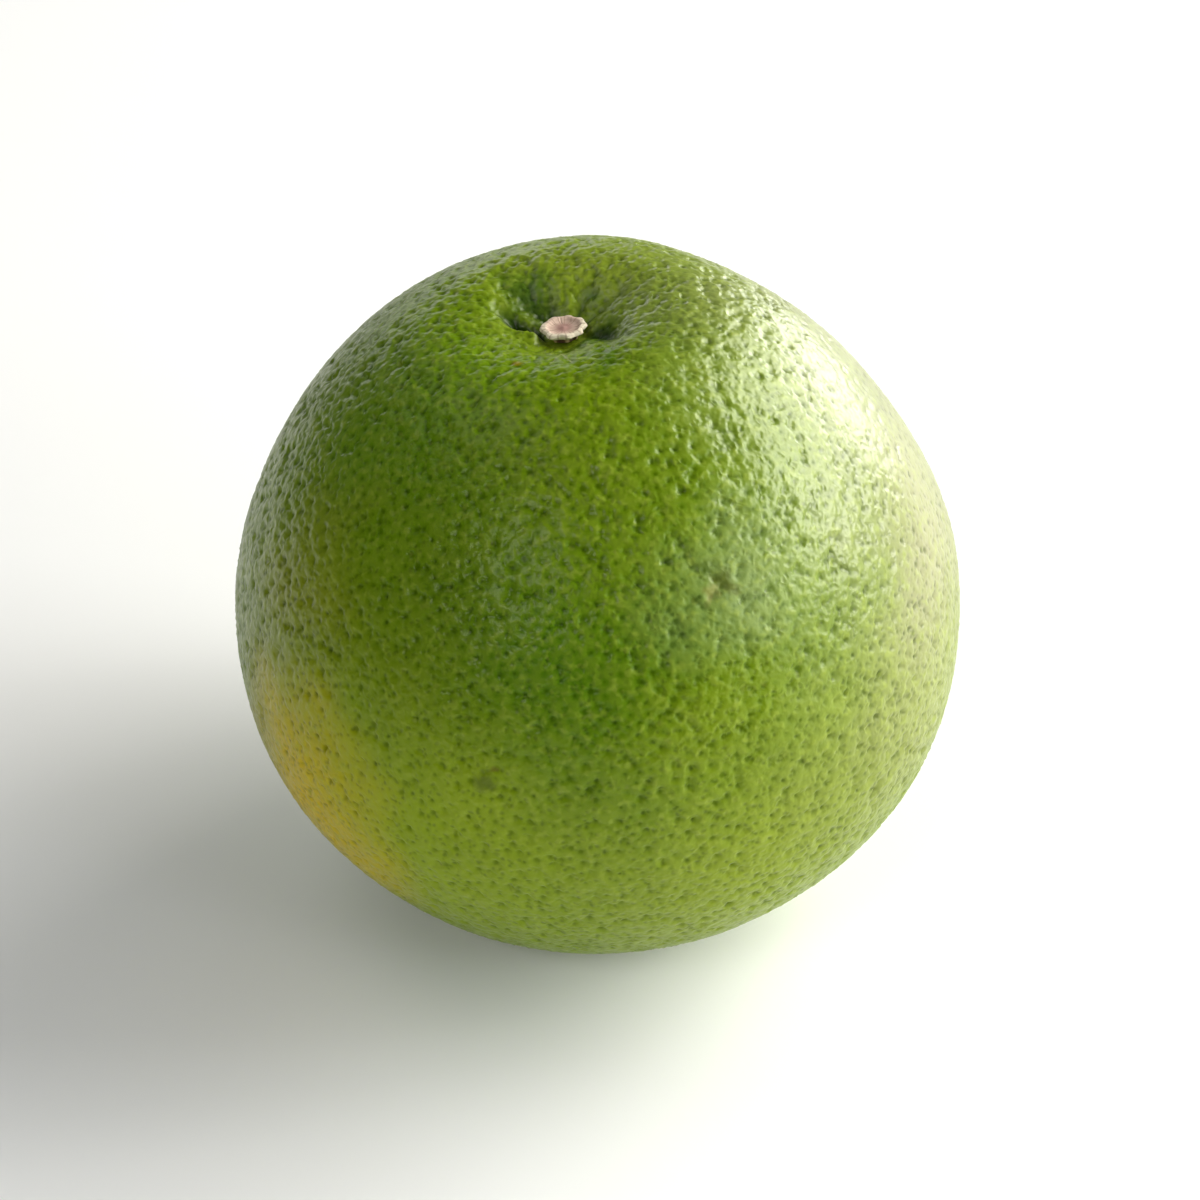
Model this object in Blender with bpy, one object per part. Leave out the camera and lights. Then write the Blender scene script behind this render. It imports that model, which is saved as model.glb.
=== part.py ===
"""A green navel orange, picked, standing on its blossom end with its stem end up.

The fruit is one solid, because it grew as one: a nearly round body with a dished and
furrowed stem end, a pitted rind, a navel under it and the small flat spot that it rests
on. The woody button left by the stalk is a second solid, seated in the dish.

Metres, +Z up. The origin is on the resting surface, under the middle of the fruit.
"""

import math

import bmesh
import bpy
import numpy as np
from mathutils import Matrix, Vector

MM = 0.001

# The body, by its mean radius and how far it departs from a ball.
FRUIT_RADIUS = 43 * MM
FLATTENING = 0.4 * MM  # pole to pole it is a little shorter than it is wide
TAPER = 1.4 * MM  # it narrows towards the stem and is fuller below
LOPSIDEDNESS = 1.1 * MM  # high and low it is fuller on the +X side
LEAN_DEG = 6.0  # the stem end leans towards -X

# One shoulder is flatter than the rest: its direction from +X and from the stem.
FLAT_BEARING_DEG = 41
FLAT_POLAR_DEG = 51
FLAT_REACH_DEG = 30
FLAT_DEPTH = 1.7 * MM

# Slow waves of the rind.
SWELL_HEIGHT = 0.05 * MM
SWELL_WAVES = 11.0
SWELL_COUNT = 6

# The dish at the stem end, with the seat of the button in its middle.
DISH_DEPTH = 6.7 * MM
DISH_REACH = 11.5 * MM
SEAT_RADIUS = 2.9 * MM
SEAT_DEPTH = 0.9 * MM

# Furrows that run out of the dish: the bearing from +X in degrees where each starts, how
# far it curls from that by its end, its reach, its width and its depth.
FURROWS = (
    (172, -34, 12.0 * MM, 1.7 * MM, 1.5 * MM),
    (130, -8, 15.0 * MM, 3.2 * MM, 0.9 * MM),
    (104, 8, 10.0 * MM, 1.9 * MM, 0.6 * MM),
    (70, -6, 11.0 * MM, 2.0 * MM, 0.7 * MM),
    (36, 10, 13.0 * MM, 2.4 * MM, 0.6 * MM),
    (-2, -52, 10.5 * MM, 2.6 * MM, 1.2 * MM),
    (-80, -10, 8.0 * MM, 1.9 * MM, 0.5 * MM),
    (-128, 14, 9.0 * MM, 2.1 * MM, 0.4 * MM),
)

# The navel at the blossom end: a puckered rim round the tip of a second, tiny fruit.
NAVEL_RADIUS = 6.5 * MM
NAVEL_DEPTH = 3.6 * MM
NAVEL_FOLDS = 7
NAVEL_FOLD_DEPTH = 0.7 * MM
FRUITLET_RADIUS = 3.6 * MM
FRUITLET_HEIGHT = 2.3 * MM

# The flat spot that it stands on.
FOOT_DEPTH = 1.1 * MM

# Pits of the oil glands, drawn larger than the real ones, which are 1.5 mm apart. They
# are finer at the two ends, where the form turns faster.
PIT_SPACING = 5.0 * MM
PIT_SPACING_AT_ENDS = 1.25 * MM
ENDS_REACH = 8.0 * MM
PIT_DEPTH = 0.42 * MM
PIT_UNEVENNESS = 0.3
PIT_JITTER = 0.3
SPREAD_ROUNDS = 4

# The button: a low scalloped disc on a narrower neck, with a dished face.
BUTTON_RADIUS = 2.6 * MM
BUTTON_NECK_RADIUS = 1.7 * MM
BUTTON_HEIGHT = 1.5 * MM
BUTTON_RIM_THICKNESS = 0.7 * MM
BUTTON_DISH = 0.3 * MM
BUTTON_GAP = 0.35 * MM
BUTTON_LOBES = 8
BUTTON_LOBE_DEPTH = 0.05
BUTTON_SIDES = 54

# The finish of each piece, with its colour in linear light.
RIND_COLOUR = (0.14, 0.21, 0.02)
RIND_ROUGHNESS = 0.38
BUTTON_COLOUR = (0.56, 0.42, 0.32)
BUTTON_ROUGHNESS = 0.7

GOLDEN_ANGLE = math.pi * (3 - math.sqrt(5))
SEED = 11

LEAN = Matrix.Rotation(math.radians(-LEAN_DEG), 4, "Y")


def clear_scene():
    for obj in list(bpy.data.objects):
        bpy.data.objects.remove(obj, do_unlink=True)


def principled(name, colour, roughness):
    material = bpy.data.materials.new(name)
    material.use_nodes = True
    shader = material.node_tree.nodes["Principled BSDF"]
    shader.inputs["Base Color"].default_value = (*colour, 1.0)
    shader.inputs["Roughness"].default_value = roughness
    shader.inputs["Metallic"].default_value = 0.0
    return material


def ramp(value, low, high):
    """0 below low, 1 above high, with a smooth step between them."""
    t = np.clip((value - low) / (high - low), 0, 1)
    return t * t * (3 - 2 * t)


# In what follows, d holds unit directions from the middle of the fruit, one in a row,
# with the stem at +Z and the navel at -Z.


def direction(bearing_deg, polar_deg):
    bearing = math.radians(bearing_deg)
    polar = math.radians(polar_deg)
    return np.array(
        [
            math.sin(polar) * math.cos(bearing),
            math.sin(polar) * math.sin(bearing),
            math.cos(polar),
        ]
    )


def body(d):
    """Distance from the middle to the plain outside of the fruit."""
    x, y, z = d.T
    flattening = FLATTENING * (3 * z**2 - 1) / 2
    taper = TAPER * (5 * z**3 - 3 * z) / 2
    lopsided = LOPSIDEDNESS * x * (5 * z**2 - 1) / 4
    from_flat = np.arccos(np.clip(d @ direction(FLAT_BEARING_DEG, FLAT_POLAR_DEG), -1, 1))
    flat = FLAT_DEPTH * np.exp(-((from_flat / math.radians(FLAT_REACH_DEG)) ** 2))
    return FRUIT_RADIUS - flattening + taper + lopsided - flat


def swell(d):
    """Slow waves that run over the rind in seeded directions."""
    rng = np.random.default_rng(SEED)
    height = np.zeros(len(d))
    for _ in range(SWELL_COUNT):
        along = rng.normal(size=3)
        along /= np.linalg.norm(along)
        phase = rng.uniform(0, 2 * math.pi)
        height += np.sin(SWELL_WAVES * (d @ along) + phase)
    return SWELL_HEIGHT * height


def from_pole(d, end):
    """Distance over the rind from the stem (end 1) or the navel (end -1), and bearing."""
    return (
        FRUIT_RADIUS * np.arccos(np.clip(end * d[:, 2], -1, 1)),
        np.arctan2(d[:, 1], d[:, 0]),
    )


def dish(d):
    """Depth of the hollow at the stem end, with its furrows and the button's seat."""
    away, bearing = from_pole(d, 1)
    depth = DISH_DEPTH * np.exp(-((away / DISH_REACH) ** 2))
    depth += SEAT_DEPTH * (1 - ramp(away, 0.8 * SEAT_RADIUS, 1.4 * SEAT_RADIUS))
    for start, curl, reach, width, furrow_depth in FURROWS:
        out = np.minimum(away / reach, 1)
        turn = bearing - np.radians(start + curl * out**2)
        along = away * np.cos(turn)
        across = away * np.sin(turn)
        rises = ramp(along, 0.6 * SEAT_RADIUS, 1.5 * SEAT_RADIUS)
        fades = 1 - ramp(along, 0.5 * reach, reach)
        slot = np.exp(-((across / (width * (0.4 + 0.6 * out))) ** 2))
        depth += furrow_depth * rises * fades * slot
    return depth


def navel(d):
    """Depth of the hollow at the blossom end, less the fruitlet that stands in it."""
    away, bearing = from_pole(d, -1)
    hollow = 1 - ramp(away, 0.5 * NAVEL_RADIUS, NAVEL_RADIUS)
    folds = np.maximum(0, np.cos(NAVEL_FOLDS * bearing + np.sin(2 * bearing)))
    near_rim = np.exp(-(((away - NAVEL_RADIUS) / (0.35 * NAVEL_RADIUS)) ** 2))
    fruitlet = np.maximum(0, 1 - (away / FRUITLET_RADIUS) ** 2)
    return (
        NAVEL_DEPTH * hollow
        + NAVEL_FOLD_DEPTH * folds * near_rim
        - FRUITLET_HEIGHT * np.sqrt(fruitlet)
    )


def rind(d, pit_depth=0.0):
    """Points of the rind in those directions, leaning as it stands."""
    reach = body(d) + swell(d) - dish(d) - navel(d) - pit_depth
    return (d * reach[:, None]) @ np.array(LEAN.to_3x3()).T


def pit_spacing(polar):
    """Pits are closer together at the two ends, where the form turns faster."""
    from_end = FRUIT_RADIUS * np.minimum(polar, math.pi - polar)
    share = ramp(from_end, 0.8 * ENDS_REACH, 3.2 * ENDS_REACH)
    return PIT_SPACING_AT_ENDS + (PIT_SPACING - PIT_SPACING_AT_ENDS) * share


def pit_directions(rng):
    """A spiral of pits from the stem to the navel, each a golden angle on and a little astray."""
    polar = np.linspace(0, math.pi, 20001)
    ring = 2 * math.pi * FRUIT_RADIUS**2 * np.sin(polar)
    pit_area = math.sqrt(3) / 2 * pit_spacing(polar) ** 2
    passed = np.cumsum(ring / pit_area) * (polar[1] - polar[0])
    count = int(passed[-1])
    polar = np.interp(np.arange(count) + 0.5, passed, polar)
    bearing = GOLDEN_ANGLE * np.arange(count)
    d = np.stack(
        [np.sin(polar) * np.cos(bearing), np.sin(polar) * np.sin(bearing), np.cos(polar)],
        axis=1,
    )
    astray = PIT_JITTER * pit_spacing(polar)[:, None] / FRUIT_RADIUS
    d += astray * rng.uniform(-1, 1, size=(count, 3))
    return d / np.linalg.norm(d, axis=1)[:, None]


def finish(bm, name, material):
    """Turn the built shape into an object of that name, shaded smooth."""
    bmesh.ops.recalc_face_normals(bm, faces=bm.faces)
    mesh = bpy.data.meshes.new(name)
    bm.to_mesh(mesh)
    bm.free()
    mesh.materials.append(material)
    mesh.shade_smooth()
    obj = bpy.data.objects.new(name, mesh)
    bpy.context.scene.collection.objects.link(obj)


def hull_of_pits(bm, rng):
    """A ball with a vertex at each pit, after the pits have spread out evenly."""
    for pit in pit_directions(rng):
        bm.verts.new(pit)
    for _ in range(SPREAD_ROUNDS):
        bmesh.ops.convex_hull(bm, input=bm.verts)
        bmesh.ops.smooth_vert(
            bm, verts=bm.verts, factor=0.5, use_axis_x=True, use_axis_y=True, use_axis_z=True
        )
        for vertex in bm.verts:
            vertex.co.normalize()
        bmesh.ops.delete(bm, geom=bm.edges, context="EDGES_FACES")
    bmesh.ops.convex_hull(bm, input=bm.verts)


def pit_depths(d, pit_count, rng):
    """How far each pit is pushed in. None is under the button or in the navel."""
    plain = ramp(from_pole(d, 1)[0], SEAT_RADIUS, 3 * SEAT_RADIUS)
    plain *= ramp(from_pole(d, -1)[0], 0.8 * NAVEL_RADIUS, 1.6 * NAVEL_RADIUS)
    polar = np.arccos(np.clip(d[:, 2], -1, 1))
    depth = PIT_DEPTH * plain * pit_spacing(polar) / PIT_SPACING
    depth *= rng.uniform(1 - PIT_UNEVENNESS, 1 + PIT_UNEVENNESS, len(d))
    depth[pit_count:] = 0
    return depth


def make_fruit():
    """The rind: each pit is a vertex, and the rind between three pits another.

    Returns where the middle of the fruit is once it stands on its flat spot.
    """
    rng = np.random.default_rng(SEED)
    bm = bmesh.new()
    hull_of_pits(bm, rng)
    pit_count = len(bm.verts)
    bmesh.ops.poke(bm, faces=bm.faces)
    bm.verts.index_update()
    d = np.array([v.co for v in bm.verts])
    d /= np.linalg.norm(d, axis=1)[:, None]
    points = rind(d, pit_depths(d, pit_count, rng))

    lowest = points[:, 2].min() + FOOT_DEPTH
    points[:, 2] = np.maximum(points[:, 2], lowest)
    across = (points.min(axis=0) + points.max(axis=0)) / 2
    middle = -np.array([across[0], across[1], lowest])
    for vertex, point in zip(bm.verts, points + middle):
        vertex.co = point
    finish(bm, "fruit", principled("green_rind", RIND_COLOUR, RIND_ROUGHNESS))
    return Vector(middle)


def make_button(middle):
    """The stalk's woody end, turned from its half section and then scalloped."""
    face = BUTTON_HEIGHT
    section = (
        (0.0, 0.0),
        (0.8 * BUTTON_NECK_RADIUS, 0.0),
        (BUTTON_NECK_RADIUS, 0.15 * BUTTON_HEIGHT),
        (BUTTON_NECK_RADIUS, face - BUTTON_RIM_THICKNESS),
        (0.92 * BUTTON_RADIUS, face - 0.8 * BUTTON_RIM_THICKNESS),
        (BUTTON_RADIUS, face - 0.4 * BUTTON_RIM_THICKNESS),
        (0.95 * BUTTON_RADIUS, face),
        (0.78 * BUTTON_RADIUS, face + 0.2 * BUTTON_DISH),
        (0.55 * BUTTON_RADIUS, face - BUTTON_DISH),
        (0.2 * BUTTON_RADIUS, face - BUTTON_DISH),
        (0.0, face - 0.4 * BUTTON_DISH),
    )
    bm = bmesh.new()
    line = [bm.verts.new((r, 0, z)) for r, z in section]
    edges = [bm.edges.new(pair) for pair in zip(line, line[1:])]
    bmesh.ops.spin(
        bm,
        geom=line + edges,
        cent=(0, 0, 0),
        axis=(0, 0, 1),
        angle=2 * math.pi,
        steps=BUTTON_SIDES,
        use_merge=True,
    )
    bmesh.ops.remove_doubles(bm, verts=bm.verts, dist=0.001 * MM)
    for vertex in bm.verts:
        bearing = math.atan2(vertex.co.y, vertex.co.x)
        out = Vector(vertex.co.xy).length / BUTTON_RADIUS
        lobes = BUTTON_LOBE_DEPTH * math.cos(BUTTON_LOBES * bearing + 2 * math.sin(bearing))
        vertex.co.xy *= 1 + lobes * out**3
    seat = rind(np.array([[0.0, 0.0, 1.0]]))[0]
    axis = LEAN.to_3x3() @ Vector((0, 0, 1))
    foot = middle + Vector(seat) + BUTTON_GAP * axis
    bmesh.ops.transform(bm, matrix=Matrix.Translation(foot) @ LEAN, verts=bm.verts)
    finish(bm, "stem_button", principled("stalk_wood", BUTTON_COLOUR, BUTTON_ROUGHNESS))


clear_scene()
make_button(make_fruit())
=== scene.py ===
# %% [markdown]
# # A green navel orange
#
# This lesson dresses a plain model of a whole orange. The frame gives two solids: the
# fruit, and the woody button that the stalk left at its stem end. Each is replaced by a
# finer mesh of the same form, with the small shapes and the finish of the real thing.

# %% Load the frame
import math

import bmesh
import bpy
import numpy as np
from mathutils import Matrix, Vector
from mathutils.bvhtree import BVHTree
from mathutils.kdtree import KDTree


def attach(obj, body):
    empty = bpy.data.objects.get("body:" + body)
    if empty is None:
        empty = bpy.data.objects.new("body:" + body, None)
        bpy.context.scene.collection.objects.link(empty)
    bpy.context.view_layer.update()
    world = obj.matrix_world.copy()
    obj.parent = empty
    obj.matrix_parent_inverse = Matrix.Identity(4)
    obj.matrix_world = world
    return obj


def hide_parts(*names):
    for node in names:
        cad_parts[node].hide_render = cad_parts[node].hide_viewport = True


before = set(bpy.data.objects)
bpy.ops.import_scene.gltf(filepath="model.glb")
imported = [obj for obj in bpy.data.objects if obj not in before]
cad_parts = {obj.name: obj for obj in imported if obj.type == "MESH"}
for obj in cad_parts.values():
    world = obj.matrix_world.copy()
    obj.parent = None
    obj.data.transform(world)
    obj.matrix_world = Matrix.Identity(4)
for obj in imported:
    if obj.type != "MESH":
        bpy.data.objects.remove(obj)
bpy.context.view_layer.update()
MM = 0.001
print("nodes:", sorted(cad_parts))

# %% [markdown]
# ## The form of the fruit
#
# An orange is nearly a ball, so its surface can be written as a distance from its middle
# for each direction. That makes one formula serve for everything that follows: a mesh of
# any fineness is a ball whose points are moved out to that distance. The sizes are those
# of the frame's solid, so that the two agree.

# %% Sizes of the form
FRUIT_RADIUS = 43 * MM
FLATTENING = 0.4 * MM  # pole to pole it is a little shorter than it is wide
TAPER = 1.4 * MM  # it narrows towards the stem and is fuller below
LOPSIDEDNESS = 1.1 * MM  # high and low it is fuller on the +X side
LEAN_DEG = 6.0  # the stem end leans towards -X
FLAT_BEARING_DEG = 41  # one shoulder is flatter than the rest
FLAT_POLAR_DEG = 51
FLAT_REACH_DEG = 30
FLAT_DEPTH = 1.7 * MM
SWELL_HEIGHT = 0.05 * MM  # slow waves of the rind
SWELL_WAVES = 11.0
SWELL_COUNT = 6
FOOT_DEPTH = 1.1 * MM  # cut by the flat spot that it stands on
SEED = 11
LEAN = Matrix.Rotation(math.radians(-LEAN_DEG), 4, "Y")

# %% [markdown]
# ## The plain body
#
# The body is a ball with a few slow departures: shorter from pole to pole, narrower at the
# stem, fuller on one side, and flatter on one shoulder, with slow waves over all of it. It
# could be sculpted by hand. A formula is chosen because the rind, the button's seat and the
# flat spot all read the same one.

# %% The plain body
def ramp(value, low, high):
    """0 below low, 1 above high, with a smooth step between them."""
    t = np.clip((value - low) / (high - low), 0, 1)
    return t * t * (3 - 2 * t)


def direction(bearing_deg, polar_deg):
    """The direction at a bearing from +X and an angle from the stem."""
    bearing = math.radians(bearing_deg)
    polar = math.radians(polar_deg)
    level = math.sin(polar)
    return np.array([level * math.cos(bearing), level * math.sin(bearing), math.cos(polar)])


def body(d):
    """Distance from the middle to the plain outside, for unit directions in rows."""
    x, _, z = d.T
    flattening = FLATTENING * (3 * z**2 - 1) / 2
    taper = TAPER * (5 * z**3 - 3 * z) / 2
    lopsided = LOPSIDEDNESS * x * (5 * z**2 - 1) / 4
    from_flat = np.arccos(np.clip(d @ direction(FLAT_BEARING_DEG, FLAT_POLAR_DEG), -1, 1))
    flat = FLAT_DEPTH * np.exp(-((from_flat / math.radians(FLAT_REACH_DEG)) ** 2))
    return FRUIT_RADIUS - flattening + taper + lopsided - flat


def swell(d):
    """Slow waves that run over the rind in seeded directions."""
    rng = np.random.default_rng(SEED)
    height = np.zeros(len(d))
    for _ in range(SWELL_COUNT):
        along = rng.normal(size=3)
        along /= np.linalg.norm(along)
        phase = rng.uniform(0, 2 * math.pi)
        height += np.sin(SWELL_WAVES * (d @ along) + phase)
    return SWELL_HEIGHT * height


def from_pole(d, end):
    """Distance over the rind from the stem (end 1) or the navel (end -1), and bearing."""
    away = FRUIT_RADIUS * np.arccos(np.clip(end * d[:, 2], -1, 1))
    return away, np.arctan2(d[:, 1], d[:, 0])


STEM = np.array([[0.0, 0.0, 1.0]])  # the direction of the stem, in a row of its own
print("plain body from pole to pole in mm:", round(float((body(STEM) + body(-STEM))[0] / MM), 1))

# %% [markdown]
# ## The stem end
#
# Where the stalk held the fruit, the rind sinks into a dish, and furrows run out of it
# that curl a little as they go. One on the left is a sharp fold. Each furrow is a groove
# whose depth falls off to its sides as a bell curve, so that it melts into the rind, and
# fine puckers run down into the seat of the button.

# %% Sizes of the dish and its furrows
DISH_DEPTH = 6.7 * MM
DISH_REACH = 11.5 * MM
SEAT_RADIUS = 2.9 * MM
SEAT_DEPTH = 0.9 * MM
FURROWS = (
    # start and curl in degrees, then reach, width and depth
    (172, -34, 12.0 * MM, 1.7 * MM, 1.5 * MM),
    (130, -8, 15.0 * MM, 3.2 * MM, 0.9 * MM),
    (104, 8, 10.0 * MM, 1.9 * MM, 0.6 * MM),
    (70, -6, 11.0 * MM, 2.0 * MM, 0.7 * MM),
    (36, 10, 13.0 * MM, 2.4 * MM, 0.6 * MM),
    (-2, -52, 10.5 * MM, 2.6 * MM, 1.2 * MM),
    (-80, -10, 8.0 * MM, 1.9 * MM, 0.5 * MM),
    (-128, 14, 9.0 * MM, 2.1 * MM, 0.4 * MM),
)
SLIT_DEPTH = 1.1 * MM  # the left fold is pinched to a slit beside the button
SLIT_WIDTH = 0.5 * MM
SLIT_REACH = (2.6 * MM, 8.6 * MM)
LIP_HEIGHT = 0.7 * MM
LIP_OFFSET = 1.4 * MM
LIP_WIDTH = 0.8 * MM
LIP_REACH = 7.0 * MM
PUCKERS = 17
PUCKER_DEPTH = 0.16 * MM

# %% [markdown]
# ## The dish and its furrows
#
# The dish is a hollow with the slope of a bell curve, so that it has no edge where the rind
# turns into it. Each furrow is drawn in its own two directions, along and across, which turn
# with its curl. A brush could carve them too, but here each depth is a number to compare
# with the photograph.

# %% The dish
def furrows(d):
    """Depth of the furrows alone."""
    away, bearing = from_pole(d, 1)
    depth = np.zeros(len(d))
    for start, curl, reach, width, furrow_depth in FURROWS:
        out = np.minimum(away / reach, 1)
        turn = bearing - np.radians(start + curl * out**2)
        along = away * np.cos(turn)
        across = away * np.sin(turn)
        rises = ramp(along, 0.6 * SEAT_RADIUS, 1.5 * SEAT_RADIUS)
        fades = 1 - ramp(along, 0.5 * reach, reach)
        slot = np.exp(-((across / (width * (0.4 + 0.6 * out))) ** 2))
        depth += furrow_depth * rises * fades * slot
    return depth


def slit(d):
    """The pinched part of the first furrow, less the lip that bulges along its front."""
    away, bearing = from_pole(d, 1)
    start, curl, reach, _, _ = FURROWS[0]
    turn = bearing - np.radians(start + curl * np.minimum(away / reach, 1) ** 2)
    along = away * np.cos(turn)
    across = away * np.sin(turn)
    begin, end = SLIT_REACH
    starts = ramp(along, begin, begin + 1 * MM)
    cut = SLIT_DEPTH * np.exp(-((across / SLIT_WIDTH) ** 2))
    cut *= starts * (1 - ramp(along, end - 2.5 * MM, end))
    lip = LIP_HEIGHT * np.exp(-(((across - LIP_OFFSET) / LIP_WIDTH) ** 2))
    lip *= starts * (1 - ramp(along, LIP_REACH - 3 * MM, LIP_REACH))
    return cut, lip


def puckers(d):
    """Fine folds that run down into the seat, uneven in their spacing."""
    away, bearing = from_pole(d, 1)
    wave = np.maximum(0, np.cos(PUCKERS * bearing + 1.7 * np.sin(3 * bearing)))
    near = np.exp(-(((away - 1.5 * SEAT_RADIUS) / (0.7 * SEAT_RADIUS)) ** 2))
    return PUCKER_DEPTH * wave**2 * near


def dish(d):
    """Depth of the hollow at the stem end, with its furrows and the button's seat."""
    away = from_pole(d, 1)[0]
    hollow = DISH_DEPTH * np.exp(-((away / DISH_REACH) ** 2))
    seat = SEAT_DEPTH * (1 - ramp(away, 0.8 * SEAT_RADIUS, 1.4 * SEAT_RADIUS))
    cut, lip = slit(d)
    return hollow + seat + furrows(d) + puckers(d) + cut - lip


print("depth of the dish and seat in mm:", round(float(dish(STEM)[0] / MM), 1))

# %% [markdown]
# ## The navel
#
# A navel orange has a second, tiny fruit at its blossom end. Its tip shows in a hollow
# with a puckered rim. The photograph doesn't show this end, but a part that can be
# turned over needs it. The same kind of formula makes the hollow, the folds of its rim
# and the dome of the tip.

# %% Sizes and shape of the navel
NAVEL_RADIUS = 6.5 * MM
NAVEL_DEPTH = 3.6 * MM
NAVEL_FOLDS = 7
NAVEL_FOLD_DEPTH = 0.7 * MM
FRUITLET_RADIUS = 3.6 * MM
FRUITLET_HEIGHT = 2.3 * MM
FRUITLET_CREASES = 5
FRUITLET_CREASE_DEPTH = 0.35 * MM


def navel(d):
    """Depth of the hollow at the blossom end, less the fruitlet that stands in it."""
    away, bearing = from_pole(d, -1)
    hollow = 1 - ramp(away, 0.5 * NAVEL_RADIUS, NAVEL_RADIUS)
    folds = np.maximum(0, np.cos(NAVEL_FOLDS * bearing + np.sin(2 * bearing)))
    near_rim = np.exp(-(((away - NAVEL_RADIUS) / (0.35 * NAVEL_RADIUS)) ** 2))
    inside = away / FRUITLET_RADIUS
    dome = np.sqrt(np.maximum(0, 1 - inside**2))
    crease = np.abs(np.cos(0.5 * FRUITLET_CREASES * bearing + 0.4 * np.sin(bearing)))
    creases = FRUITLET_CREASE_DEPTH * (1 - ramp(crease, 0, 0.3)) * (1 - ramp(inside, 0.7, 1))
    return (
        NAVEL_DEPTH * hollow
        + NAVEL_FOLD_DEPTH * folds * near_rim
        - FRUITLET_HEIGHT * dome
        + creases * ramp(inside, 0, 0.15)
    )


print("fruitlet's tip below the plain body in mm:", round(float(navel(-STEM)[0] / MM), 1))

# %% [markdown]
# ## The oil glands
#
# The rind is full of oil glands, and over each it sinks into a small pit. They stand 1 to
# 2 mm apart with no two alike, and the rind rises to low peaks where three pits meet.
# Their places come from a spiral that steps by the golden angle, which fills a ball
# evenly. Each is then thrown a little astray, and a few rounds of hull and smoothing push
# apart the ones that came too close, as growing cells do.

# %% Places of the glands
GLAND_SPACING = 1.62 * MM
GLAND_SPACING_AT_ENDS = 1.08 * MM
ENDS_REACH = 8.0 * MM
GLAND_JITTER = 0.5
SPREAD_ROUNDS = 2
GOLDEN_ANGLE = math.pi * (3 - math.sqrt(5))
POLAR_STEPS = 20001  # from pole to pole, to add up how many glands have room so far


def gland_spacing(polar):
    """Glands are closer together at the two ends, where the form turns faster."""
    from_end = FRUIT_RADIUS * np.minimum(polar, math.pi - polar)
    share = ramp(from_end, 0.8 * ENDS_REACH, 3.2 * ENDS_REACH)
    return GLAND_SPACING_AT_ENDS + (GLAND_SPACING - GLAND_SPACING_AT_ENDS) * share


def gland_directions(rng):
    """A spiral of glands from the stem to the navel, each a little astray."""
    polar = np.linspace(0, math.pi, POLAR_STEPS)
    ring = 2 * math.pi * FRUIT_RADIUS**2 * np.sin(polar)
    gland_area = math.sqrt(3) / 2 * gland_spacing(polar) ** 2
    passed = np.cumsum(ring / gland_area) * (polar[1] - polar[0])
    count = int(passed[-1])
    polar = np.interp(np.arange(count) + 0.5, passed, polar)
    bearing = GOLDEN_ANGLE * np.arange(count)
    level = np.sin(polar)
    d = np.stack([level * np.cos(bearing), level * np.sin(bearing), np.cos(polar)], axis=1)
    astray = GLAND_JITTER * gland_spacing(polar)[:, None] / FRUIT_RADIUS
    d += astray * rng.uniform(-1, 1, size=(count, 3))
    return d / np.linalg.norm(d, axis=1)[:, None]

# %% [markdown]
# ## A ball with a point at each gland
#
# The hull of points on a ball joins each to its neighbours, so it gives a mesh of triangles
# with one gland at each corner. An ico sphere would be quicker to make, but its rows would
# show as straight lines of pits. Smoothing along the hull's edges moves each gland to the
# middle of its neighbours, and the hull is then made again.

# %% A ball with a point at each gland
rng = np.random.default_rng(SEED)
rind_bm = bmesh.new()
for gland in gland_directions(rng):
    rind_bm.verts.new(gland)
for _ in range(SPREAD_ROUNDS):
    bmesh.ops.convex_hull(rind_bm, input=rind_bm.verts)
    bmesh.ops.smooth_vert(
        rind_bm, verts=rind_bm.verts, factor=0.5, use_axis_x=True, use_axis_y=True, use_axis_z=True
    )
    for vertex in rind_bm.verts:
        vertex.co.normalize()
    bmesh.ops.delete(rind_bm, geom=rind_bm.edges, context="EDGES_FACES")
bmesh.ops.convex_hull(rind_bm, input=rind_bm.verts)
gland_count = len(rind_bm.verts)
glands = KDTree(gland_count)
for number, vertex in enumerate(rind_bm.verts):
    glands.insert(vertex.co, number)
glands.balance()
print("oil glands:", gland_count)

# %% [markdown]
# ## The rind's mesh
#
# Cutting each edge of that hull in three gives every gland a floor point, a ring on its
# wall and peaks around it, which is the least that shows a pit as a real shape. A finer mesh
# would be rounder, but it would be too large to hand on. Each point then looks up which
# gland is nearest, and how far it is.

# %% Cut the edges and find the nearest gland
bmesh.ops.subdivide_edges(rind_bm, edges=rind_bm.edges, cuts=2, use_grid_fill=True)
d = np.array([vertex.co for vertex in rind_bm.verts])
d /= np.linalg.norm(d, axis=1)[:, None]
found = [glands.find(vertex) for vertex in d]
nearest = np.array([number for _, number, _ in found])
distance = FRUIT_RADIUS * np.array([gap for _, _, gap in found])
print("points:", len(d), "farthest from a gland in mm:", round(distance.max() / MM, 2))

# %% [markdown]
# ## The pits
#
# A pit is a bell-shaped hollow over its gland. Four glands in ten are large and deep, and
# the rest are small and shallow, as in the photograph, where dark pits stand among faint
# ones. One flank is smoother than the others. A displacement texture would place pits too,
# but they wouldn't fall on the mesh's own points, and many would be lost.

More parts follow.
